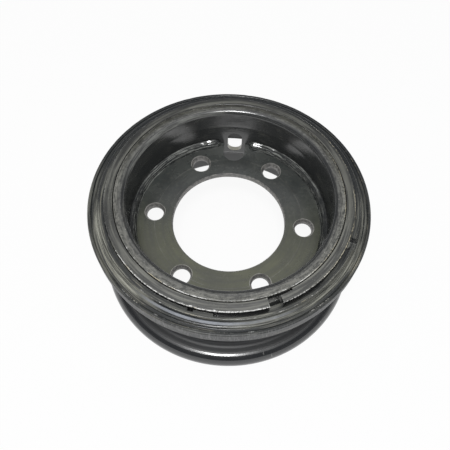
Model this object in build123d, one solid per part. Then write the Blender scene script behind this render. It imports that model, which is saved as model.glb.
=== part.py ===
from build123d import *
import os
from math import degrees

os.makedirs("parts", exist_ok=True)

# Three-piece industrial wheel rim, 8 inch class, lying on its fixed flange.
# Z is the wheel axis and Z = 0 is the floor. Azimuths are degrees from +X towards +Y.

# Tyre side: bead seats and the rolled fixed flange
bead_seat_diameter = 203.0
bead_width = 63.5
flange_height = 17.5
flange_curl = 9.5
flange_lip = 2.2
flange_thickness = 6.5
lip_round = 1.8
seat_heel = 5.0
seat_wall = 6.0
heel_back_round = 5.0

# Barrel: a narrower drum above the bead seat, joined to it by a flare
drum_drop = 8.5
drum_wall = 4.5
flare_drop = 10.0
flare_shift = 1.8
flare_blend = 6.0

# Gutter at the top of the barrel
tip_overhang = 1.9
tip_width = 9.4
tip_depth = 7.0
tip_round = 4.0
tip_edge = 0.6
tip_bore_depth = 5.0
tip_bore_slope = 18.0
gutter_depth = 3.4
gutter_opening = 9.3
gutter_fillet = 1.0
land_height = 6.0
land_slope = 7.0
land_blend = 3.0

# Disc that bolts to the hub
disc_height = 47.5
disc_thickness = 6.0
disc_fit = 0.05
hub_bore_diameter = 102.0
hub_edge = 0.6
bolt_circle_diameter = 136.0
bolt_count = 6
bolt_azimuth = -4.9
bolt_hole_diameter = 15.4
bolt_seat_diameter = 18.6
bolt_seat_angle = 60.0

# Valve slot through the barrel and the notch for it in the disc
valve_azimuth = 88.0
valve_slot_width = 13.8
valve_slot_length = 26.5
valve_slot_above_disc = 14.5
valve_notch_width = 20.5
valve_notch_reach = 22.0

# Welds between the disc and the barrel: a fillet on the front, a filled edge bevel on the hub side
front_weld_leg = 5.5
rear_weld_leg = 4.0
rear_weld_cap = 1.5
weld_crown = 0.7
weld_stop = 4.0
weld_clear = 7.8

# Side ring
ring_thickness = 15.1
ring_foot_length = 24.5
ring_slide = 0.25
ring_edge_round = 3.0
ring_seat_bevel = 4.0
crest_above_ledge = 1.8
crest_width = 2.6
crest_round = 1.0
shelf_width = 1.5
shelf_below_crest = 0.3
groove_depth = 1.4
groove_flank = 0.8
rib_height = 6.5
rib_width = 4.4
rib_slope = 2.3
rib_edge = 0.7
rib_foot_round = 1.7
relief_start = -94.9
relief_end = -25.0
relief_depth = 2.7
relief_slot_width = 8.0
small_notch_azimuth = -104.3
small_notch_width = 4.5
small_notch_depth = 2.2

# Lock ring
lock_width = 7.8
lock_play = 0.3
lock_below_tip = 0.6
lock_dish = 0.5
lock_edge = 0.6
lock_gap_azimuth = -68.8
lock_gap = 10.9
lock_notch_length = 11.0
lock_notch_depth = 2.0
lock_notch_height = 4.5

# Radii that follow, from the bead seat inwards and outwards
seat_r = bead_seat_diameter / 2
flange_r = seat_r + flange_height
drum_r = seat_r - drum_drop
drum_bore_r = drum_r - drum_wall
tip_bore_r = drum_bore_r - tip_overhang
tip_r = tip_bore_r + tip_width
gutter_r = tip_r - gutter_depth
lock_bore_r = tip_r + lock_play
lock_r = lock_bore_r + lock_width
ring_bore_r = tip_r + ring_slide
rib_bore_r = lock_r + lock_play
rib_r = rib_bore_r + rib_width
shelf_r = rib_r + rib_slope
crest_r = flange_r - crest_width
disc_r = drum_bore_r - disc_fit

# Heights that follow, from the floor up
flange_face = flange_lip + flange_curl
ring_face = flange_face + bead_width
ring_foot = ring_face - ring_foot_length
ring_crest = ring_face + ring_thickness
ring_shelf = ring_crest - shelf_below_crest
ring_ledge = ring_crest - crest_above_ledge
rib_top = ring_crest + rib_height
gutter_floor = ring_ledge - ring_seat_bevel - lock_play
gutter_top = gutter_floor + gutter_opening
tip_top = gutter_top + tip_depth
lock_top = tip_top - lock_below_tip
land_foot = gutter_floor - land_height
disc_top = disc_height + disc_thickness
flare_bore_top = disc_height - rear_weld_cap - weld_clear
flare_top = flare_bore_top + flare_shift


def revolved(corners):
    """Solid of revolution about Z from the (radius, height, rounding) corners of its section."""
    points = [(r, z) for r, z, rounding in corners]
    roundings = [rounding for r, z, rounding in corners]
    with BuildPart() as ring:
        with BuildSketch(Plane.XZ):
            with BuildLine():
                FilletPolyline(*points, radius=roundings, close=True)
            make_face()
        revolve(axis=Axis.Z)
    return ring.part


def sector(inner_r, outer_r, bottom, top, start, sweep):
    """Plain ring between two azimuths, taken out of a ring to cut it."""
    with BuildPart() as wedge:
        with BuildSketch(Plane.XZ):
            with Locations(((inner_r + outer_r) / 2, (bottom + top) / 2)):
                Rectangle(outer_r - inner_r, top - bottom)
        revolve(axis=Axis.Z, revolution_arc=sweep)
    return wedge.part.rotate(Axis.Z, start)


def make_rim_base():
    """Rolled barrel: fixed flange, bead seat, flare, drum and the gutter, with the valve slot cut through."""
    lip_bore_r = flange_r - flange_thickness
    flange_back = flange_face - flange_thickness
    curl_inside = max(flange_curl - flange_thickness, tip_edge)
    seat_bore_r = seat_r - seat_wall
    barrel = revolved([
        (flange_r, 0, lip_round),
        (flange_r, flange_face, flange_curl),
        (seat_r, flange_face, seat_heel),
        (seat_r, flare_top - flare_drop, flare_blend),
        (drum_r, flare_top, flare_blend),
        (drum_r, land_foot - land_slope, land_blend),
        (tip_r, land_foot, land_blend),
        (tip_r, gutter_floor, tip_edge),
        (gutter_r, gutter_floor, gutter_fillet),
        (gutter_r, gutter_top, gutter_fillet),
        (tip_r, gutter_top, tip_edge),
        (tip_r, tip_top, tip_edge),
        (tip_bore_r, tip_top, tip_round),
        (tip_bore_r, tip_top - tip_bore_depth, land_blend),
        (drum_bore_r, tip_top - tip_bore_depth - tip_bore_slope, land_blend),
        (drum_bore_r, flare_bore_top, flare_blend),
        (seat_bore_r, flare_bore_top - flare_drop, flare_blend),
        (seat_bore_r, flange_back, heel_back_round),
        (lip_bore_r, flange_back, curl_inside),
        (lip_bore_r, 0, lip_round),
    ])
    slot_middle = disc_top + valve_slot_above_disc - valve_slot_length / 2
    facing_out = Plane(origin=(0, 0, slot_middle), x_dir=(0, 0, 1), z_dir=(1, 0, 0))
    with BuildPart() as slot:
        with BuildSketch(facing_out):
            SlotOverall(valve_slot_length, valve_slot_width)
        extrude(amount=flange_r)
    return barrel - slot.part.rotate(Axis.Z, valve_azimuth)


def make_wheel_disc():
    """Flat plate with the hub bore, cone-seated bolt holes and the valve notch in its edge."""
    notch_end_r = drum_bore_r - valve_notch_reach + valve_notch_width / 2
    with BuildPart() as disc:
        with BuildSketch(Plane.XY.offset(disc_height)):
            Circle(disc_r)
            Circle(hub_bore_diameter / 2, mode=Mode.SUBTRACT)
            with PolarLocations(notch_end_r, 1, start_angle=valve_azimuth):
                Circle(valve_notch_width / 2, mode=Mode.SUBTRACT)
            with PolarLocations(notch_end_r + disc_r / 2, 1, start_angle=valve_azimuth):
                Rectangle(disc_r, valve_notch_width, mode=Mode.SUBTRACT)
        extrude(amount=disc_thickness)
        bore_edges = disc.edges().filter_by(GeomType.CIRCLE).filter_by(
            lambda edge: abs(edge.radius - hub_bore_diameter / 2) < disc_fit)
        chamfer(bore_edges, hub_edge)
        rim_edges = disc.edges().filter_by(GeomType.CIRCLE).filter_by(
            lambda edge: abs(edge.radius - disc_r) < disc_fit)
        chamfer(rim_edges.group_by(Axis.Z)[0], rear_weld_leg)
        with Locations(Plane.XY.offset(disc_top)):
            with PolarLocations(bolt_circle_diameter / 2, bolt_count, start_angle=bolt_azimuth):
                CounterSinkHole(bolt_hole_diameter / 2, bolt_seat_diameter / 2,
                                counter_sink_angle=bolt_seat_angle)
    return disc.part


def weld_bead(flanks, crown):
    """Bead with straight flanks and a round crown, run round the disc and open at the valve notch."""
    stop = degrees((valve_notch_width / 2 + weld_stop) / drum_bore_r)
    with BuildPart() as bead:
        with BuildSketch(Plane.XZ):
            with BuildLine():
                Polyline(*flanks)
                ThreePointArc(flanks[-1], crown, flanks[0])
            make_face()
        revolve(axis=Axis.Z, revolution_arc=360 - 2 * stop)
    return bead.part.rotate(Axis.Z, valve_azimuth + stop)


def make_front_weld():
    """Fillet bead in the corner between the disc's upper face and the drum."""
    leg = front_weld_leg
    crown = (drum_bore_r - leg / 2 - weld_crown, disc_top + leg / 2 + weld_crown)
    return weld_bead([(drum_bore_r, disc_top + leg), (drum_bore_r, disc_top), (drum_bore_r - leg, disc_top)], crown)


def make_rear_weld():
    """Bead that fills the disc's edge bevel, so that the hub side stays flat inside it."""
    leg = rear_weld_leg
    crown = (drum_bore_r - leg / 2, disc_height - rear_weld_cap / 2 - weld_crown)
    return weld_bead([
        (drum_bore_r, disc_height - rear_weld_cap),
        (drum_bore_r, disc_height + leg),
        (disc_r, disc_height + leg),
        (disc_r - leg, disc_height),
    ], crown)


def make_side_ring():
    """Endless loose flange: bead-seat foot, tyre face, crest, groove and the rib round the lock ring."""
    groove_inner_r = shelf_r + shelf_width
    groove_bottom = ring_crest - groove_depth
    ring = revolved([
        (ring_bore_r, ring_foot, rib_edge),
        (seat_r, ring_foot, rib_edge),
        (seat_r, ring_face, seat_heel),
        (flange_r, ring_face, ring_edge_round),
        (flange_r, ring_crest, crest_round),
        (crest_r, ring_crest, crest_round),
        (crest_r - groove_flank, groove_bottom, rib_edge),
        (groove_inner_r + groove_flank, groove_bottom, rib_edge),
        (groove_inner_r, ring_shelf, shelf_below_crest),
        (shelf_r, ring_shelf, rib_foot_round),
        (rib_r, rib_top, rib_edge),
        (rib_bore_r, rib_top, tip_edge),
        (rib_bore_r, ring_ledge, 0),
        (ring_bore_r + ring_seat_bevel, ring_ledge, 0),
        (ring_bore_r, ring_ledge - ring_seat_bevel, 0),
    ])
    above = rib_top + rib_height
    relief = sector(lock_r, rib_bore_r + relief_depth, ring_ledge, above, relief_start, relief_end - relief_start)
    slot_sweep = degrees(relief_slot_width / rib_r)
    relief_slot = sector(lock_r, shelf_r, ring_shelf, above, relief_end, slot_sweep)
    notch_sweep = degrees(small_notch_width / rib_bore_r)
    notch_start = small_notch_azimuth - notch_sweep / 2
    small_notch = sector(lock_r, rib_bore_r + small_notch_depth, ring_ledge, above, notch_start, notch_sweep)
    return ring - relief - relief_slot - small_notch


def make_lock_ring():
    """Split ring whose toe hooks under the gutter tip and whose flank holds the side ring's ledge."""
    toe_bottom = gutter_floor + lock_play
    bevel_top_r = ring_bore_r + ring_seat_bevel - lock_play
    ring = revolved([
        (lock_bore_r, lock_top, lock_edge),
        (lock_r, lock_top - lock_dish, lock_edge),
        (lock_r, ring_ledge, lock_edge),
        (bevel_top_r, ring_ledge, 0),
        (bevel_top_r - ring_seat_bevel, toe_bottom, lock_edge),
        (gutter_r + lock_play, toe_bottom, gutter_fillet),
        (gutter_r + lock_play, gutter_top - lock_play, gutter_fillet),
        (lock_bore_r, gutter_top - lock_play, lock_edge),
    ])
    gap_sweep = degrees(lock_gap / lock_r)
    gap_start = lock_gap_azimuth - gap_sweep / 2
    gap = sector(drum_bore_r, flange_r, gutter_floor, tip_top, gap_start, gap_sweep)
    notch_sweep = degrees(lock_notch_length / lock_r)
    notch_start = gap_start + gap_sweep
    notch = sector(drum_bore_r, lock_bore_r + lock_notch_depth, lock_top - lock_notch_height, tip_top,
                   notch_start, notch_sweep)
    return ring - gap - notch


nodes = {
    "rim_base": make_rim_base(),
    "wheel_disc": make_wheel_disc(),
    "front_weld": make_front_weld(),
    "rear_weld": make_rear_weld(),
    "side_ring": make_side_ring(),
    "lock_ring": make_lock_ring(),
}
for name, solid in nodes.items():
    export_step(solid, f"parts/{name}.step")
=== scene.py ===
import math

import bmesh
import bpy
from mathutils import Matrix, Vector, noise


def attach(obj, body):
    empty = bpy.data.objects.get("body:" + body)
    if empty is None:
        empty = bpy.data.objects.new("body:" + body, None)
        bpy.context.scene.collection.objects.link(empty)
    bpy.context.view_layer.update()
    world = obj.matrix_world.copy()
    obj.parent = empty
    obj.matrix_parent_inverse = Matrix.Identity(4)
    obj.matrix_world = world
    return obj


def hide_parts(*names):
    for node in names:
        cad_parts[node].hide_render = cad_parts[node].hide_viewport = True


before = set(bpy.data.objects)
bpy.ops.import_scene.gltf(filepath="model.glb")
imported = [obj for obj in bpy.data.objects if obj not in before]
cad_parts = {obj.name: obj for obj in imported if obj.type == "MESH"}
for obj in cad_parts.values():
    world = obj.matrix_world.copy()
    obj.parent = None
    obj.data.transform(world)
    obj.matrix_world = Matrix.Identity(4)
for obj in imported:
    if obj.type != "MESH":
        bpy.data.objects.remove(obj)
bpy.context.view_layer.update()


# Rim base: one piece of rolled steel with the fixed flange it lies on, the lower bead seat, a flare up to
# the narrower drum, and the gutter with its overhanging tip. Black gloss paint, rubbed grey and rough on
# the tip, where the rings are hammered on and levered off.

def rounded_section(corners, step=1.6):
    """(radius, height, wear) round a section in mm, from its (radius, height, rounding, wear) corners."""
    outline = []
    for i, (r, z, rounding, wear) in enumerate(corners):
        here = Vector((r, z))
        back = (Vector(corners[i - 1][:2]) - here).normalized()
        ahead = (Vector(corners[(i + 1) % len(corners)][:2]) - here).normalized()
        turn = math.pi - back.angle(ahead)
        if rounding == 0:
            outline.append(here)
            continue
        centre = here + (back + ahead).normalized() * rounding / math.cos(turn / 2)
        first = here + back * rounding * math.tan(turn / 2) - centre
        last = here + ahead * rounding * math.tan(turn / 2) - centre
        way = math.copysign(turn, first.x * last.y - first.y * last.x)
        parts = max(3, math.ceil(turn * rounding / step), math.ceil(math.degrees(turn) / 12))
        for k in range(parts + 1):
            a = way * k / parts
            outline.append(centre + Vector((first.x * math.cos(a) - first.y * math.sin(a),
                                            first.x * math.sin(a) + first.y * math.cos(a))))
    points = []
    for i, here in enumerate(outline):
        onward = outline[(i + 1) % len(outline)] - here
        parts = max(1, math.ceil(onward.length / step))
        shares = [k / parts for k in range(parts)]
        if onward.length > 1.5:
            shares += [0.4 / onward.length, 1 - 0.4 / onward.length]
        points += [here + onward * share for share in sorted(shares)]
    worn = [(Vector((r, z)), wear, rounding) for r, z, rounding, wear in corners if wear]
    return [(p.x, p.y, max((wear * math.exp(-max(0, (p - c).length - 0.4 * rounding) / 0.35)
                            for c, wear, rounding in worn), default=0.0)) for p in points]


def on_wheel(azimuth, r, z):
    """Place in metres, from an azimuth in degrees and a radius and a height in mm."""
    a = math.radians(azimuth)
    return r * math.cos(a) / 1000, r * math.sin(a) / 1000, z / 1000


def closed_piece(name, places, faces):
    """Object in the scene from its points in metres and its faces, all turned outwards."""
    mesh = bpy.data.meshes.new(name)
    mesh.from_pydata(places, [], faces)
    work = bmesh.new()
    work.from_mesh(mesh)
    bmesh.ops.recalc_face_normals(work, faces=work.faces)
    work.to_mesh(mesh)
    work.free()
    piece = bpy.data.objects.new(name, mesh)
    bpy.context.scene.collection.objects.link(piece)
    return piece


def turned(name, section, azimuths, closed=True, shape=None):
    """Object turned from a section in mm about the wheel axis; shape(azimuth, r, z, wear) moves points."""
    places, wears = [], []
    for i, azimuth in enumerate(azimuths):
        at_end = not closed and not 2 <= i < len(azimuths) - 2
        for r, z, wear in section:
            wear = max(wear, 1.0) if at_end else wear
            if shape:
                r, z = shape(azimuth, r, z, wear)
            places.append(on_wheel(azimuth, r, z))
            wears.append(wear)
    n, rows = len(section), len(azimuths)
    faces = [(i * n + k, (i + 1) % rows * n + k, (i + 1) % rows * n + (k + 1) % n, i * n + (k + 1) % n)
             for i in range(rows if closed else rows - 1) for k in range(n)]
    if not closed:
        faces += [tuple(range(n)), tuple(range((rows - 1) * n, rows * n))]
    piece = closed_piece(name, places, faces)
    piece.data.attributes.new("wear", "FLOAT", "POINT").data.foreach_set("value", wears)
    return piece


def smooth_shaded(piece, sharp_from=34):
    piece.data.polygons.foreach_set("use_smooth", [True] * len(piece.data.polygons))
    piece.data.set_sharp_from_angle(angle=math.radians(sharp_from))


def rough_patch(azimuth, r, z, size, seed):
    """Noise from -1 to 1 over the steel's surface, with lumps of about the given size in mm."""
    a = math.radians(azimuth)
    return noise.noise(Vector((r * math.cos(a), r * math.sin(a), z)) / size + Vector((seed, 0, 0)))


def hammered_tip(azimuth, r, z, wear):
    if z < 93.4 or r < 86.9:
        return r, z
    dents = 0.12 * rough_patch(azimuth, r, z, 6.0, 3) + 0.05 * rough_patch(azimuth, r, z, 2.8, 7)
    chips = min(1.0, wear) * max(0.0, rough_patch(azimuth, r, z, 3.2, 11) - 0.05)
    top = max(0.0, min(1.0, (z - 98.5) / 1.5))
    return r - 0.5 * chips, z - top * (0.12 + abs(dents) + 0.35 * chips)


barrel_section = rounded_section([
    (119.0, 0.0, 1.8, 0.1), (119.0, 11.7, 9.5, 0), (101.5, 11.7, 5.0, 0), (101.5, 30.0, 6.0, 0),
    (93.0, 40.0, 6.0, 0), (93.0, 71.2, 3.0, 0), (96.0, 78.2, 3.0, 0), (96.0, 84.2, 0.6, 0.3),
    (92.6, 84.2, 1.0, 0), (92.6, 93.5, 1.0, 0), (96.0, 93.5, 0.6, 0.2), (96.0, 100.5, 0.6, 1.8),
    (86.6, 100.5, 4.0, 0), (86.6, 95.5, 3.0, 0), (88.5, 77.5, 3.0, 0), (88.5, 38.2, 6.0, 0),
    (95.5, 28.2, 6.0, 0), (95.5, 5.2, 5.0, 0), (112.5, 5.2, 3.0, 0), (112.5, 0.0, 1.8, 0.1),
], 2.2)
barrel = turned("barrel", barrel_section, range(360), shape=hammered_tip)

valve_turn = 88.0
valve_azimuth = math.radians(valve_turn)
slot_middle, slot_end_radius, slot_half_straight, slot_sides = 54.75, 6.9, 6.35, 48
slot_outline = []
for k in range(slot_sides):
    a = 2 * math.pi * k / slot_sides
    height = slot_middle + slot_end_radius * math.sin(a) + math.copysign(slot_half_straight, math.sin(a))
    slot_outline.append((slot_end_radius * math.cos(a), height))
slot_corners = []
for depth in (80.0, 112.0):
    for side, height in slot_outline:
        x = depth * math.cos(valve_azimuth) - side * math.sin(valve_azimuth)
        y = depth * math.sin(valve_azimuth) + side * math.cos(valve_azimuth)
        slot_corners.append((x / 1000, y / 1000, height / 1000))
slot_faces = [tuple(range(slot_sides - 1, -1, -1)), tuple(range(slot_sides, 2 * slot_sides))]
for k in range(slot_sides):
    following = (k + 1) % slot_sides
    slot_faces.append((k, following, slot_sides + following, slot_sides + k))
slot_cutter = closed_piece("valve_slot", slot_corners, slot_faces)
cut = barrel.modifiers.new("valve_slot", "BOOLEAN")
cut.object = slot_cutter
cut.solver = "EXACT"
slotted = bpy.data.meshes.new_from_object(barrel.evaluated_get(bpy.context.evaluated_depsgraph_get()))
barrel.modifiers.clear()
barrel.data = slotted
bpy.data.objects.remove(slot_cutter)
smooth_shaded(barrel)


def finish(name):
    """New material, its node tree and its shader node."""
    made = bpy.data.materials.new(name)
    made.use_nodes = True
    return made, made.node_tree, made.node_tree.nodes["Principled BSDF"]


def node(tree, kind, sockets=(), out=0, **settings):
    made = tree.nodes.new("ShaderNode" + kind)
    for key, value in settings.items():
        setattr(made, key, value)
    for key, value in dict(sockets).items():
        if isinstance(value, bpy.types.NodeSocket):
            tree.links.new(value, made.inputs[key])
        elif isinstance(value, tuple) and made.inputs[key].type == "RGBA":
            made.inputs[key].default_value = (*value, 1.0)
        else:
            made.inputs[key].default_value = value
    return made.outputs[out]


def maths(tree, operation, a, b=0.0):
    return node(tree, "Math", {0: a, 1: b}, operation=operation)


def all_of(tree, mask, *others):
    """The masks multiplied."""
    for other in others:
        mask = maths(tree, "MULTIPLY", mask, other)
    return mask


def between(tree, value, low, high, start=0.0, end=1.0):
    """Eases from start to end while value goes from low to high."""
    return node(tree, "MapRange", {0: value, 1: low, 2: high, 3: start, 4: end},
                interpolation_type="SMOOTHSTEP")


def tinted(tree, share, a, b):
    return node(tree, "Mix", {0: share, 6: a, 7: b}, 2, data_type="RGBA")


def graded(tree, share, a, b):
    return node(tree, "Mix", {0: share, 2: a, 3: b}, 0, data_type="FLOAT")


def mottle(tree, size_mm, detail=5.0, roughness=0.6, seed=0.0):
    """Noise over the steel with lumps of about size_mm."""
    place = node(tree, "TexCoord", out="Object")
    moved = node(tree, "VectorMath", {0: place, 1: (seed, seed * 0.7, seed * 0.3)}, operation="ADD")
    return node(tree, "TexNoise", {"Vector": moved, "Scale": 1000 / size_mm, "Detail": detail,
                                   "Roughness": roughness})


def wheel_place(tree):
    """Radius and height in the wheel's frame, in metres, and the flat direction outwards."""
    place = node(tree, "TexCoord", out="Object")
    flat = node(tree, "VectorMath", {0: place, 1: (1, 1, 0)}, operation="MULTIPLY")
    radius = node(tree, "VectorMath", {0: flat}, "Value", operation="LENGTH")
    outwards = node(tree, "VectorMath", {0: flat}, operation="NORMALIZE")
    height = node(tree, "SeparateXYZ", {0: place}, "Z")
    return radius, height, outwards


def round_marks(tree, width_mm, length_mm, detail=3.0):
    """Marks that run round the wheel, as a lathe, a tyre lever or a dragged ring leaves them."""
    radius, height, outwards = wheel_place(tree)
    turn = node(tree, "SeparateXYZ", {0: outwards}, "X"), node(tree, "SeparateXYZ", {0: outwards}, "Y")
    spot = node(tree, "CombineXYZ", {0: maths(tree, "MULTIPLY", radius, 1000 / width_mm),
                                     1: maths(tree, "MULTIPLY", height, 1000 / width_mm),
                                     2: maths(tree, "MULTIPLY", turn[0], 100 / length_mm)})
    return node(tree, "TexNoise", {"Vector": spot, "W": maths(tree, "MULTIPLY", turn[1], 100 / length_mm),
                                   "Scale": 1.0, "Detail": detail}, noise_dimensions="4D")


def cross_marks(tree, width_mm, length_mm, detail=3.0):
    """Marks that run across the ring."""
    radius, height, outwards = wheel_place(tree)
    along = maths(tree, "MULTIPLY", maths(tree, "ADD", radius, height), 1000 / length_mm)
    turn = node(tree, "VectorMath", {0: outwards, 3: 100 / width_mm}, operation="SCALE")
    spot = node(tree, "VectorMath", {0: turn, 1: node(tree, "CombineXYZ", {2: along})}, operation="ADD")
    return node(tree, "TexNoise", {"Vector": spot, "Scale": 1.0, "Detail": detail})


def upward(tree, low, high):
    """0 on walls and undersides, 1 on faces that dust settles on."""
    facing = node(tree, "SeparateXYZ", {0: node(tree, "NewGeometry", out="Normal")}, "Z")
    return between(tree, facing, low, high)


def bumped(tree, shader, height, depth_mm, strength=1.0):
    tree.links.new(node(tree, "Bump", {"Height": height, "Distance": depth_mm / 1000, "Strength": strength}),
                   shader.inputs["Normal"])


def towards(tree, direction, low, high):
    """0 to 1 round the wheel, by how far the way out from the axis points along direction."""
    outwards = wheel_place(tree)[2]
    along = node(tree, "VectorMath", {0: outwards, 1: direction}, "Value", operation="DOT_PRODUCT")
    return between(tree, along, low, high)


def edge_chips_and_highlights(tree, grain_mm, seed):
    """0 to 1 on the bare lines along knocked edges, broken up, most at the front and some at the right; at
    the front the line is partly painted highlight along the rounded edges.
    """
    wear = node(tree, "Attribute", out="Fac", attribute_name="wear")
    knocked_and_lit = maths(tree, "MAXIMUM", towards(tree, (0, -1, 0), 0.35, 0.85),
                    all_of(tree, towards(tree, (1, 0, 0), 0.4, 0.9), 0.6))
    wear = all_of(tree, wear, graded(tree, knocked_and_lit, 0.25, 1.0))
    broken = all_of(tree, between(tree, mottle(tree, grain_mm, 5.0, seed=seed), 0.30, 0.62),
                    between(tree, mottle(tree, 22.0, 3.0, seed=seed + 1), 0.38, 0.58, 0.3, 1.0))
    return between(tree, all_of(tree, wear, broken), 0.22, 0.85)


def bare_steel(tree, seed):
    """Bright steel where paint is knocked off, browned by rust in places and along the right; also the colour
    of the painted highlight on the front edges.
    """
    rusty = maths(tree, "MAXIMUM", between(tree, mottle(tree, 28.0, 2.0, seed=seed), 0.56, 0.66),
                  towards(tree, (1, 0, 0), 0.5, 0.9))
    return tinted(tree, rusty, (0.68, 0.68, 0.66), (0.44, 0.40, 0.29))


gloss_paint, tree, shader = finish("gloss_black_paint")
radius, height = wheel_place(tree)[:2]
far = towards(tree, (0, 1, 0), 0.0, 0.55)
tip = all_of(tree, between(tree, height, 0.0984, 0.0996), between(tree, radius, 0.0890, 0.0904))
outer = between(tree, radius, 0.0912, 0.0934)
smears = mottle(tree, 16.0, 6.0)
specks = mottle(tree, 1.7, 3.0, seed=2.0)
streaks = round_marks(tree, 1.3, 18.0)
crust = graded(tree, 0.5, mottle(tree, 2.2, 6.0, 0.75, seed=13.0), round_marks(tree, 1.0, 9.0, 5.0))
haze = all_of(tree, between(tree, smears, 0.4, 0.7), between(tree, streaks, 0.42, 0.68))
paint_colour = tinted(tree, haze, (0.0235, 0.0252, 0.0257), (0.080, 0.081, 0.071))
inner_scuffs = tinted(tree, between(tree, crust, 0.42, 0.60), (0.040, 0.041, 0.039), (0.130, 0.131, 0.119))
outer_near = tinted(tree, between(tree, crust, 0.40, 0.58), (0.034, 0.036, 0.032), (0.180, 0.179, 0.157))
outer_far = tinted(tree, between(tree, crust, 0.42, 0.62), (0.018, 0.019, 0.014), (0.058, 0.058, 0.042))
scuffed = tinted(tree, outer, inner_scuffs, tinted(tree, far, outer_near, outer_far))
scuffed = tinted(tree, between(tree, streaks, 0.54, 0.68, 0.0, 0.55), scuffed, (0.19, 0.19, 0.165))
scuffed = tinted(tree, between(tree, specks, 0.61, 0.71, 0.0, 0.7), scuffed, (0.40, 0.40, 0.37))
low = between(tree, height, 0.0350, 0.0300)
seat = all_of(tree, between(tree, radius, 0.1120, 0.1095), low)
# Partly painted shade: the flange and the bead seat are painted near black with a blue cast. This deepens the
# flange's own black and stands in for the side ring's shade on the seat.
foot = all_of(tree, between(tree, radius, 0.0985, 0.1005), low)
paint_colour = tinted(tree, foot, paint_colour, (0.0080, 0.0095, 0.0110))
flange_scrapes = all_of(tree, between(tree, radius, 0.1095, 0.1110),
                        towards(tree, (0.62, -0.785, 0), 0.84, 0.97),
                        between(tree, cross_marks(tree, 1.1, 3.0), 0.60, 0.70, 0.0, 0.6),
                        between(tree, mottle(tree, 7.0, 3.0, seed=9.0), 0.50, 0.60))
paint_colour = tinted(tree, flange_scrapes, paint_colour, (0.30, 0.30, 0.29))
gutter = all_of(tree, between(tree, height, 0.0832, 0.0845), between(tree, height, 0.0945, 0.0935),
                between(tree, radius, 0.0910, 0.0920), between(tree, smears, 0.3, 0.6, 0.6, 1.0))
paint_colour = tinted(tree, gutter, paint_colour, (0.25, 0.25, 0.235))
# Painted highlight: a light band along the tip's rounded inner edge at the back left, carrying on the lamp's
# reflection there.
inner_edge_highlight = all_of(tree, between(tree, radius, 0.0894, 0.0884), between(tree, height, 0.0955, 0.0975),
                    towards(tree, (-0.70, 0.714, 0), 0.70, 0.95),
                    between(tree, streaks, 0.36, 0.58, 0.25, 1.0))
paint_colour = tinted(tree, inner_edge_highlight, paint_colour, (0.175, 0.18, 0.168))
across_slot = (-math.sin(valve_azimuth), math.cos(valve_azimuth), 0)
slot_side = node(tree, "VectorMath", {0: node(tree, "TexCoord", out="Object"), 1: across_slot},
                 "Value", operation="DOT_PRODUCT")
slot_wall = all_of(tree, between(tree, maths(tree, "ABSOLUTE", slot_side), 0.0074, 0.0070),
                   between(tree, radius, 0.08855, 0.0888), between(tree, radius, 0.09295, 0.0927),
                   between(tree, height, 0.0700, 0.0690), between(tree, height, 0.0405, 0.0412),
                   towards(tree, (0, 1, 0), 0.5, 0.6))
paint_colour = tinted(tree, slot_wall, paint_colour, (0.36, 0.35, 0.30))
colour = tinted(tree, tip, paint_colour, scuffed)
colour = tinted(tree, edge_chips_and_highlights(tree, 1.5, 5.0), colour, bare_steel(tree, 21.0))
tree.links.new(colour, shader.inputs["Base Color"])
wall = all_of(tree, between(tree, radius, 0.0900, 0.0890), between(tree, height, 0.0960, 0.0900))
rough = graded(tree, seat, between(tree, smears, 0.3, 0.7, 0.17, 0.26), 0.50)
rough = graded(tree, tip, rough, between(tree, crust, 0.4, 0.6, 0.28, 0.60))
tree.links.new(rough, shader.inputs["Roughness"])
tree.links.new(graded(tree, seat, all_of(tree, foot, 0.5), 0.0), shader.inputs["Coat Weight"])
shader.inputs["Coat Roughness"].default_value = 0.12
shader.inputs["IOR"].default_value = 1.75
relief = graded(tree, tip, all_of(tree, wall, streaks), maths(tree, "ADD", crust, specks))
bumped(tree, shader, relief, 0.12, 0.7)
barrel.data.materials.append(gloss_paint)
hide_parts("rim_base")
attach(barrel, "root")


# Wheel disc: flame-cut 6 mm plate that bolts to the hub, let into the drum and welded round its edge.
# Satin black paint under dust; the hub bore and the cone seats of the bolt holes are rubbed to bare steel.
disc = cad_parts["wheel_disc"]
bolt_circle_radius, first_bolt_azimuth, bolts = 0.068, -4.9, 6
satin_paint, tree, shader = finish("satin_black_paint")
radius = wheel_place(tree)[0]
place = node(tree, "TexCoord", out="Object")
flat_place = node(tree, "VectorMath", {0: place, 1: (1, 1, 0)}, operation="MULTIPLY")
to_bolt = 1.0
for k in range(bolts):
    a = math.radians(first_bolt_azimuth + 360 / bolts * k)
    centre = (bolt_circle_radius * math.cos(a), bolt_circle_radius * math.sin(a), 0.0)
    away = node(tree, "VectorMath", {0: flat_place, 1: centre}, "Value", operation="DISTANCE")
    to_bolt = maths(tree, "MINIMUM", to_bolt, away)
bare = maths(tree, "MAXIMUM", between(tree, to_bolt, 0.00945, 0.0092),
             between(tree, radius, 0.05175, 0.0515))
smears = mottle(tree, 24.0, 6.0)
grime = mottle(tree, 2.2, 5.0, seed=4.0)
wipes = round_marks(tree, 3.0, 60.0)
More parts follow.
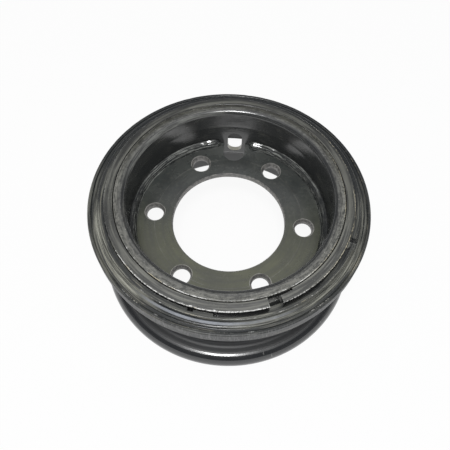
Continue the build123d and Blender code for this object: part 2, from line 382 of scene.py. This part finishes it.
# Paint lighter and olive towards the front, darker towards the back.
lighter_front_paint = tinted(tree, between(tree, smears, 0.3, 0.7), (0.064, 0.068, 0.042), (0.098, 0.103, 0.060))
darker_rear_paint = tinted(tree, between(tree, smears, 0.3, 0.7), (0.038, 0.043, 0.042), (0.061, 0.067, 0.062))
paint_colour = tinted(tree, towards(tree, (0, 1, 0), -0.6, 0.5), lighter_front_paint, darker_rear_paint)
paint_colour = tinted(tree, between(tree, wipes, 0.35, 0.7, 0.0, 0.5), paint_colour, (0.040, 0.042, 0.040))
paint_colour = tinted(tree, between(tree, grime, 0.5, 0.75, 0.0, 0.4), paint_colour, (0.11, 0.112, 0.092))
scratched = between(tree, round_marks(tree, 0.8, 26.0), 0.62, 0.74, 0.0, 0.35)
off_scribe = maths(tree, "ABSOLUTE", maths(tree, "SUBTRACT", radius, 0.0672))
scribed = all_of(tree, between(tree, off_scribe, 0.0005, 0.0001), between(tree, smears, 0.4, 0.6, 0.1, 0.5))
colour = tinted(tree, maths(tree, "MAXIMUM", scratched, scribed), paint_colour, (0.18, 0.18, 0.165))
seat_edge = all_of(tree, between(tree, to_bolt, 0.0089, 0.0092), between(tree, to_bolt, 0.0097, 0.0094),
                   between(tree, mottle(tree, 5.0, 3.0, seed=15.0), 0.35, 0.6, 0.2, 0.9))
steel = tinted(tree, between(tree, grime, 0.3, 0.7), (0.13, 0.13, 0.13), (0.34, 0.33, 0.31))
colour = tinted(tree, seat_edge, tinted(tree, bare, colour, steel), (0.46, 0.45, 0.42))
tree.links.new(colour, shader.inputs["Base Color"])
rough = graded(tree, bare, between(tree, smears, 0.3, 0.7, 0.20, 0.32), 0.5)
tree.links.new(rough, shader.inputs["Roughness"])
tree.links.new(all_of(tree, bare, 0.5), shader.inputs["Metallic"])
shader.inputs["IOR"].default_value = 1.75
bumped(tree, shader, grime, 0.03, 0.4)
disc.data.materials.clear()
disc.data.materials.append(satin_paint)


# Welds: fillet beads run by hand round both sides of the disc, stopped at the valve notch. Mild steel wire,
# solidified in crescent ripples, under the same black paint.
def weld_bead(name, disc_toe, wall_toe, root, outward, pitch):
    """Bead between its toes on the disc and on the wall, (radius, height) in mm, bulging along outward."""
    wall_radius, run_radius, notch_half_width = 88.5, 86.0, 14.25
    ends = math.degrees(notch_half_width / wall_radius)
    sweep = 360 - 2 * ends
    rows, points = 1400, 16
    places = []
    for i in range(rows + 1):
        azimuth = valve_turn + ends + sweep * i / rows
        along = math.radians(azimuth) * run_radius
        from_end = min(i, rows - i) / rows * math.radians(sweep) * run_radius
        unsteady = 0.3 + 0.7 * math.exp(-from_end / 45)
        size = 1 + 0.14 * unsteady * rough_patch(azimuth, run_radius, root[1], 11.0, 21)
        size *= 0.35 + 0.65 * math.sqrt(1 - (1 - min(1.0, from_end / 6.0)) ** 2)
        for k in range(points - 1):
            t = k / (points - 2)
            crown = 4 * t * (1 - t)
            ripple = (along / pitch + 0.5 * crown + 0.8 * rough_patch(azimuth, run_radius, 0.0, 9.0, 8)) % 1.0
            coarse = rough_patch(azimuth, run_radius + 2 * t, root[1], 4.5, 5)
            passes = math.sin(3 * math.pi * t + 1.2 * rough_patch(azimuth, run_radius, root[1], 16.0, 33))
            lump = unsteady * (0.7 * coarse + 0.10 * math.sqrt(ripple)) + 0.22 * abs(passes)
            out = crown * (0.45 * size + lump)
            wander = 0.7 * unsteady * rough_patch(azimuth, 80.0, root[1], 5.0, 13) * (1 - t)
            r = root[0] + size * ((disc_toe[0] - root[0]) * (1 - t) + (wall_toe[0] - root[0]) * t) - wander
            z = root[1] + size * ((disc_toe[1] - root[1]) * (1 - t) + (wall_toe[1] - root[1]) * t)
            places.append(on_wheel(azimuth, min(wall_radius, r + out * outward[0]), z + out * outward[1]))
        places.append(on_wheel(azimuth, *root))
    faces = [tuple(range(points)), tuple(range(rows * points, (rows + 1) * points))]
    for here in range(0, rows * points, points):
        for k in range(points):
            following = (k + 1) % points
            faces.append((here + k, here + points + k, here + points + following, here + following))
    bead = closed_piece(name, places, faces)
    smooth_shaded(bead, 50)
    return bead


painted_weld, tree, shader = finish("painted_weld")
smears = mottle(tree, 6.0, 6.0)
specks = mottle(tree, 1.3, 4.0, seed=3.0)
ridge_highlights = round_marks(tree, 0.8, 34.0)
colour = tinted(tree, between(tree, smears, 0.4, 0.75), (0.022, 0.0245, 0.0245), (0.055, 0.057, 0.052))
# Painted highlight: thin light lines along the bead stand in for the glints on its passes.
colour = tinted(tree, between(tree, ridge_highlights, 0.51, 0.64, 0.0, 0.85), colour, (0.27, 0.28, 0.26))
colour = tinted(tree, between(tree, specks, 0.64, 0.74, 0.0, 0.5), colour, (0.26, 0.26, 0.24))
tree.links.new(colour, shader.inputs["Base Color"])
tree.links.new(between(tree, smears, 0.3, 0.7, 0.10, 0.22), shader.inputs["Roughness"])
shader.inputs["IOR"].default_value = 1.75
bumped(tree, shader, specks, 0.06, 0.4)
front_bead = weld_bead("disc_weld_front", (83.0, 53.5), (88.5, 59.0), (88.5, 53.5), (-0.707, 0.707), 3.6)
rear_bead = weld_bead("disc_weld_rear", (84.45, 47.5), (88.5, 46.0), (88.45, 47.6), (-0.35, -0.94), 3.0)
for bead, node_name in ((front_bead, "front_weld"), (rear_bead, "rear_weld")):
    bead.data.materials.append(painted_weld)
    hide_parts(node_name)
    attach(bead, "root")


# Side ring: the endless loose flange, rolled from a bar section. Its foot is the upper bead seat, its groove
# and crest stiffen the rim edge, and a rib stands round the lock ring, cut away where the lever goes in.
# Black paint dulled by grey dust, rubbed bright along the crest and the rib, with a painted highlight along
# the rib's outer slope at the front.
lever_notch_from, lever_notch_to = -105.5, -103.1
lever_room_from, lever_room_to, rib_gap_to = -94.9, -25.0, -20.8


def levered_rib(azimuth, r, z, wear):
    if z > 88.45 and 104.3 < r < 111.2:
        turn = (azimuth + 180) % 360 - 180
        if lever_room_from < turn < lever_room_to:
            r = max(r, 107.1)
        elif lever_room_to <= turn < rib_gap_to:
            z = min(z, 90.0)
        elif lever_notch_from < turn < lever_notch_to:
            r = max(r, 106.6)
    dents = rough_patch(azimuth, r, z, 6.0, 31) * 0.10 + rough_patch(azimuth, r, z, 2.0, 17) * 0.05
    chips = min(1.0, wear) * max(0.0, rough_patch(azimuth, r, z, 4.0, 43) - 0.1)
    inward = 0.4 * chips if r > 104.5 and z > 74 else 0.0
    sunk = abs(dents) + 0.3 * chips if z > 89 else 0.0
    return r - inward, z - sunk


side_section = rounded_section([
    (96.25, 50.7, 0.7, 0), (101.5, 50.7, 0.7, 0), (101.5, 75.2, 5.0, 0), (119.0, 75.2, 3.0, 0.15),
    (119.0, 90.3, 1.0, 0.45), (116.4, 90.3, 1.0, 0.65), (115.6, 88.9, 0.7, 0), (113.4, 88.9, 0.7, 0),
    (112.6, 90.0, 0.3, 0.4), (111.1, 90.0, 1.7, 0), (108.8, 96.8, 0.7, 0.6), (104.4, 96.8, 0.6, 0.7),
    (104.4, 88.5, 0, 0), (100.25, 88.5, 0, 0), (96.25, 84.5, 0, 0),
], 1.1)
side_turns = [k * 0.9 for k in range(400)]
for edge in (lever_notch_from, lever_notch_to, lever_room_from, lever_room_to, rib_gap_to):
    side_turns += [(edge - 0.02) % 360, (edge + 0.02) % 360]
side_ring = turned("side_ring_flange", side_section, sorted(side_turns), shape=levered_rib)
smooth_shaded(side_ring)

dusty_paint, tree, shader = finish("dusty_black_paint")
radius, height = wheel_place(tree)[:2]
far = towards(tree, (0, 1, 0), -0.1, 0.4)
front = towards(tree, (-0.10, -0.995, 0), 0.76, 0.98)
smears = mottle(tree, 13.0, 6.0)
specks = mottle(tree, 1.7, 4.0, seed=6.0)
arcs = round_marks(tree, 2.4, 50.0)
rings = round_marks(tree, 1.0, 20.0)
# Paint lightened by dust on faces that look up and darker towards the back; the groove at the front is held
# dark as painted shade.
groove = all_of(tree, between(tree, radius, 0.1110, 0.1116), between(tree, radius, 0.1162, 0.1157))
dust_and_groove_shade = all_of(tree, upward(tree, 0.3, 0.9), between(tree, arcs, 0.42, 0.62, 0.12, 1.0),
              between(tree, rings, 0.36, 0.62, 0.25, 1.0), graded(tree, far, 1.0, 0.12),
              graded(tree, all_of(tree, groove, front), 1.0, 0.12))
colour = tinted(tree, dust_and_groove_shade, (0.0175, 0.0198, 0.0215), (0.185, 0.186, 0.160))
colour = tinted(tree, between(tree, specks, 0.62, 0.74, 0.0, 0.4), colour, (0.25, 0.25, 0.23))
# Painted highlight: a light blue-grey band along the rib's outer slope at the front, for the lamp's sheen on
# that curve.
rib_side_highlight = all_of(tree, between(tree, radius, 0.1096, 0.1101), between(tree, radius, 0.1112, 0.1107), front,
                  between(tree, smears, 0.2, 0.6, 0.5, 1.0))
colour = tinted(tree, rib_side_highlight, colour, (0.46, 0.485, 0.53))
sides = maths(tree, "MAXIMUM", towards(tree, (-0.84, -0.545, 0), 0.84, 0.98),
              all_of(tree, towards(tree, (0.57, -0.82, 0), 0.75, 0.95), 0.45))
trodden = all_of(tree, between(tree, radius, 0.1075, 0.1090), between(tree, radius, 0.1145, 0.1128), sides,
                 between(tree, rings, 0.40, 0.58, 0.15, 1.0))
colour = tinted(tree, trodden, colour, (0.35, 0.35, 0.30))
scratches = all_of(tree, between(tree, round_marks(tree, 0.6, 30.0, 2.0), 0.62, 0.70, 0.0, 0.7),
                   graded(tree, far, 1.0, 0.25))
colour = tinted(tree, scratches, colour, tinted(tree, smears, (0.26, 0.26, 0.24), (0.36, 0.32, 0.22)))
lip = all_of(tree, between(tree, radius, 0.1174, 0.1184), between(tree, height, 0.074, 0.079))
scrapes = all_of(tree, lip, between(tree, cross_marks(tree, 0.8, 8.0), 0.48, 0.70, 0.0, 0.5), front)
colour = tinted(tree, scrapes, colour, (0.24, 0.24, 0.23))
colour = tinted(tree, edge_chips_and_highlights(tree, 1.5, 8.0), colour, bare_steel(tree, 31.0))
tree.links.new(colour, shader.inputs["Base Color"])
rough = graded(tree, lip, between(tree, smears, 0.3, 0.7, 0.16, 0.34), 0.45)
tree.links.new(rough, shader.inputs["Roughness"])
shader.inputs["IOR"].default_value = 1.5
bumped(tree, shader, specks, 0.05, 0.5)
side_ring.data.materials.append(dusty_paint)
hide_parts("side_ring")
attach(side_ring, "root")


# Lock ring: a split spring-steel ring whose toe snaps under the gutter tip and keeps the side ring on.
# The paint is worn to grey; its edges are chipped bright, the bright line at the front partly painted
# highlight, and one end is notched for the lever.
lock_radius, gap_width, gap_azimuth, end_notch_length = 104.1, 10.9, -68.8, 11.0
lock_gap = math.degrees(gap_width / lock_radius)
lock_start = gap_azimuth + lock_gap / 2
notch_sweep = math.degrees(end_notch_length / lock_radius)


def worn_lock(azimuth, r, z, wear):
    if azimuth < lock_start + notch_sweep and z > 95.4 and r < 98.3:
        r = 98.3
    chips = min(1.0, wear) * max(0.0, rough_patch(azimuth, r, z, 3.0, 61))
    dents = 0.08 * rough_patch(azimuth, r, z, 7.0, 53) + 0.05 * rough_patch(azimuth, r, z, 2.0, 59)
    inward = 0.45 * chips if r > 101 else -0.3 * chips
    return r - inward, z - (abs(dents) + 0.4 * chips if z > 97 else 0.0)


lock_section = rounded_section([
    (96.3, 99.9, 0.6, 0.6), (lock_radius, 99.4, 0.6, 2.4), (lock_radius, 88.5, 0.6, 0), (99.95, 88.5, 0, 0),
    (95.95, 84.5, 0.6, 0), (92.9, 84.5, 1.0, 0), (92.9, 93.2, 1.0, 0), (96.3, 93.2, 0.6, 0),
    (96.3, 95.38, 0, 0), (96.3, 95.42, 0, 0),
], 1.1)
lock_sweep = 360 - lock_gap
lock_turns = [lock_start + lock_sweep * k / 600 for k in range(601)]
lock_turns += [lock_start + notch_sweep - 0.02, lock_start + notch_sweep + 0.02]
lock_turns += [lock_start + 0.25, lock_start + lock_sweep - 0.25]
lock_ring = turned("split_lock_ring", lock_section, sorted(lock_turns), closed=False, shape=worn_lock)
smooth_shaded(lock_ring)

worn_paint, tree, shader = finish("worn_black_paint")
radius = wheel_place(tree)[0]
far = towards(tree, (0, 1, 0), 0.0, 0.5)
smears = mottle(tree, 15.0, 6.0, seed=1.0)
specks = mottle(tree, 1.7, 4.0, seed=7.0)
arcs = round_marks(tree, 2.2, 45.0)
rings = round_marks(tree, 1.0, 24.0)
top = upward(tree, 0.2, 0.85)
far_outside = all_of(tree, far, between(tree, radius, 0.1005, 0.1022))
worn = all_of(tree, top, between(tree, arcs, 0.42, 0.60, 0.22, 1.0),
              between(tree, radius, 0.0975, 0.1000, 1.0, 0.75), graded(tree, far_outside, 1.0, 0.25))
colour = tinted(tree, worn, (0.0135, 0.0150, 0.0160), (0.160, 0.161, 0.140))
scuffs = maths(tree, "MAXIMUM", between(tree, rings, 0.55, 0.72, 0.0, 0.5),
               between(tree, specks, 0.62, 0.74, 0.0, 0.5))
colour = tinted(tree, all_of(tree, top, scuffs), colour, (0.25, 0.25, 0.225))
# Painted shade: a near-black band along the ring's inner edge, for the shade in the seam under the gutter
# tip.
colour = tinted(tree, between(tree, radius, 0.0971, 0.0967), colour, (0.012, 0.012, 0.011))
colour = tinted(tree, edge_chips_and_highlights(tree, 1.5, 11.0), colour, bare_steel(tree, 24.0))
tree.links.new(colour, shader.inputs["Base Color"])
tree.links.new(between(tree, smears, 0.3, 0.7, 0.24, 0.40), shader.inputs["Roughness"])
shader.inputs["IOR"].default_value = 1.7
bumped(tree, shader, specks, 0.05, 0.5)
lock_ring.data.materials.append(worn_paint)
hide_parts("lock_ring")
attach(lock_ring, "root")


# Studio: a pale floor that runs out of sight into a white sweep, grey walls above it, a white ceiling,
# one soft lamp overhead and the camera.
floor_mesh = bpy.data.meshes.new("floor")
floor_mesh.from_pydata([(-6, -6, 0), (6, -6, 0), (6, 6, 0), (-6, 6, 0)], [], [(0, 1, 2, 3)])
floor = bpy.data.objects.new("floor", floor_mesh)
bpy.context.scene.collection.objects.link(floor)
floor_finish = bpy.data.materials.new("pale_floor")
floor_finish.use_nodes = True
tree = floor_finish.node_tree
tree.nodes.clear()
seen = node(tree, "LightPath", out="Is Camera Ray")
for ray in ("Is Glossy Ray", "Is Transmission Ray"):
    seen = maths(tree, "MAXIMUM", seen, node(tree, "LightPath", out=ray))
matte = node(tree, "BsdfDiffuse", {"Color": (0.9, 0.9, 0.9)})
white = node(tree, "Emission", {"Color": (1.0, 1.0, 1.0), "Strength": 1.0})
share = all_of(tree, seen, 0.93)
tree.links.new(node(tree, "MixShader", {0: share, 1: matte, 2: white}),
               tree.nodes.new("ShaderNodeOutputMaterial").inputs["Surface"])
floor.data.materials.append(floor_finish)

studio = bpy.data.worlds.new("studio")
bpy.context.scene.world = studio
studio.use_nodes = True
tree = studio.node_tree
rise = node(tree, "SeparateXYZ", {0: node(tree, "TexCoord", out="Generated")}, "Z")
walls = tinted(tree, between(tree, rise, 0.12, 0.26), (1.0, 1.0, 1.0), (0.20, 0.20, 0.21))
tree.links.new(tinted(tree, between(tree, rise, 0.78, 0.96), walls, (1.0, 1.0, 1.0)),
               tree.nodes["Background"].inputs["Color"])

lamp_data = bpy.data.lights.new("overhead_lamp", "AREA")
lamp_data.shape = "DISK"
lamp_data.size = 0.30
lamp_data.energy = 7.0
lamp = bpy.data.objects.new("overhead_lamp", lamp_data)
lamp.location = (-0.03, -0.36, 1.08)
lamp.rotation_euler = (Vector((0, 0, 0.05)) - lamp.location).to_track_quat("-Z", "Y").to_euler()
bpy.context.scene.collection.objects.link(lamp)

camera_data = bpy.data.cameras.new("camera")
camera_data.sensor_width = 36.0
camera_data.lens = 39.74
camera_data.shift_x = -3.85 / 450
camera_data.shift_y = -5.42 / 450
camera_data.clip_start = 0.02
camera = bpy.data.objects.new("camera", camera_data)
aim = Vector((0, 0, 0.0535))
elevation, distance, roll = math.radians(60.09), 0.4518, math.radians(2.05)
camera.location = aim + distance * Vector((0, -math.cos(elevation), math.sin(elevation)))
facing = (aim - camera.location).to_track_quat("-Z", "Y").to_matrix()
camera.rotation_euler = (facing @ facing.Rotation(roll, 3, "Z")).to_euler()
bpy.context.scene.collection.objects.link(camera)
bpy.context.scene.camera = camera

bpy.context.scene.view_settings.view_transform = "Standard"
